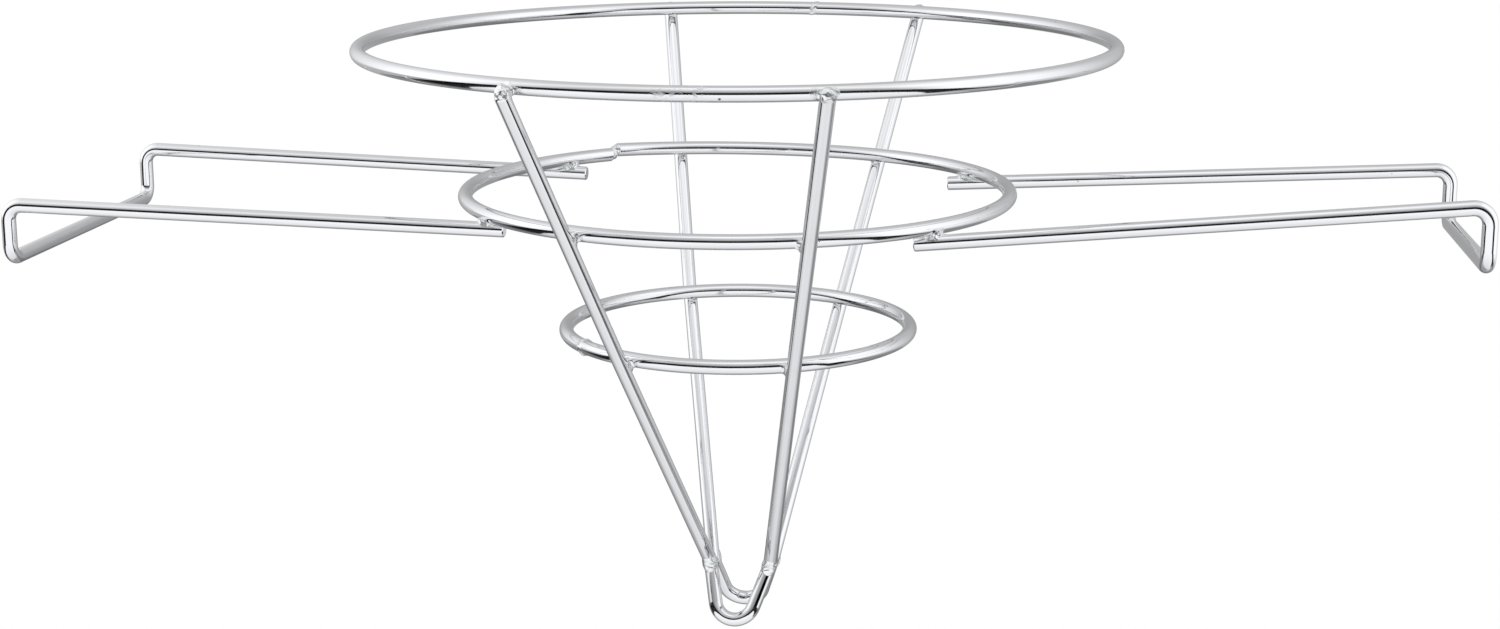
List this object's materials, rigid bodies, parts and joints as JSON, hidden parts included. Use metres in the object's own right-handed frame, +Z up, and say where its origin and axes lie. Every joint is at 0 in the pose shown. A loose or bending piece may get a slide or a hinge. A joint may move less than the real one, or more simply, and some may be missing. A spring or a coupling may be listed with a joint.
{
  "type": "cone filter rack",
  "caption": "Chrome wire rack that hangs on a pot's rim by two bail handles and holds a paper filter cone.",
  "frame": {"origin": "on the cone's axis, level with the underside of the handle arms where they pass below the middle ring, which is the level that rests on a pot's rim", "axes": "+Z up along the cone's axis, +X along the right handle, -Y towards the front"},
  "size_m": [0.4956, 0.2641, 0.2099],
  "materials": {
    "chrome_wire": "polished",
    "chrome_weld": "satin"
  },
  "bodies": {
    "root": {"top_ring": "chrome_wire", "middle_ring": "chrome_wire", "bottom_ring": "chrome_wire", "front_leg_wire": "chrome_wire", "rear_leg_wire": "chrome_wire", "left_handle": "chrome_wire", "right_handle": "chrome_wire", "top_ring_leg_welds": "chrome_weld", "middle_ring_leg_welds": "chrome_weld", "bottom_ring_leg_welds": "chrome_weld", "left_handle_welds": "chrome_weld", "right_handle_welds": "chrome_weld", "top_ring_seam_weld": "chrome_weld", "middle_ring_seam_weld": "chrome_weld", "bottom_ring_seam_weld": "chrome_weld", "tip_welds": "chrome_weld"}
  },
  "joints": []
}
